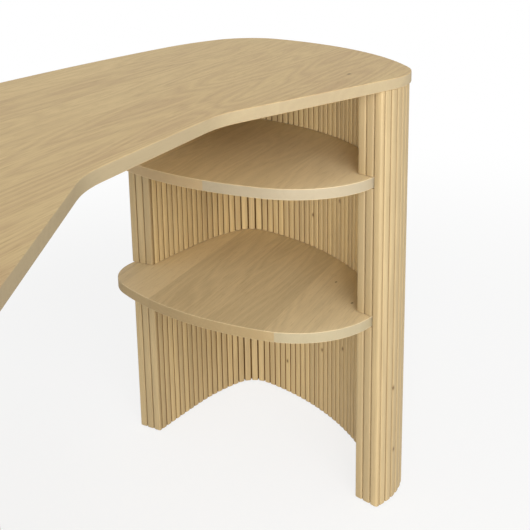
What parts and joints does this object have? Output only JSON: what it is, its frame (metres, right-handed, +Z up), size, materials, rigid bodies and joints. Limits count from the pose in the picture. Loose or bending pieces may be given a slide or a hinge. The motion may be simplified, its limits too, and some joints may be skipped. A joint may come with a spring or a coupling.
{
  "type": "tambour desk",
  "caption": "Kidney-shaped oak writing desk on curved pedestals clad inside and out in fixed vertical tambour slats, with open shelves beside the knee space.",
  "frame": {"origin": "on the floor, below the middle of the desktop's width and depth", "axes": "+X along the desk's width to the pedestal seen in the picture, +Y to the back, +Z up"},
  "size_m": [1.7796, 0.6, 0.762],
  "materials": {
    "oak_board": "matt oil",
    "oak_slat": "matt oil",
    "plywood": "sanded",
    "canvas": "glued cloth",
    "beech": "bare",
    "steel": "zinc plated",
    "nylon": "moulded"
  },
  "bodies": {
    "root": {"desktop": "oak_board", "right_lower_core": "plywood", "right_middle_core": "plywood", "right_upper_core": "plywood", "right_lower_shelf": "oak_board", "right_upper_shelf": "oak_board", "right_lower_inner_slats": "oak_slat", "right_middle_inner_slats": "oak_slat", "right_upper_inner_slats": "oak_slat", "right_outer_slats": "oak_slat", "right_corner_slat": "oak_slat", "right_front_end_slats": "oak_slat", "right_back_end_slats": "oak_slat", "right_lower_inner_canvas": "canvas", "right_middle_inner_canvas": "canvas", "right_upper_inner_canvas": "canvas", "right_outer_canvas": "canvas", "right_dowels": "beech", "right_tie_rods": "steel", "right_rod_washers": "steel", "right_rod_nuts": "steel", "right_inserts": "steel", "right_glides": "nylon", "left_lower_core": "plywood", "left_middle_core": "plywood", "left_upper_core": "plywood", "left_lower_shelf": "oak_board", "left_upper_shelf": "oak_board", "left_lower_inner_slats": "oak_slat", "left_middle_inner_slats": "oak_slat", "left_upper_inner_slats": "oak_slat", "left_outer_slats": "oak_slat", "left_corner_slat": "oak_slat", "left_front_end_slats": "oak_slat", "left_back_end_slats": "oak_slat", "left_lower_inner_canvas": "canvas", "left_middle_inner_canvas": "canvas", "left_upper_inner_canvas": "canvas", "left_outer_canvas": "canvas", "left_dowels": "beech", "left_tie_rods": "steel", "left_rod_washers": "steel", "left_rod_nuts": "steel", "left_inserts": "steel", "left_glides": "nylon"}
  },
  "joints": []
}
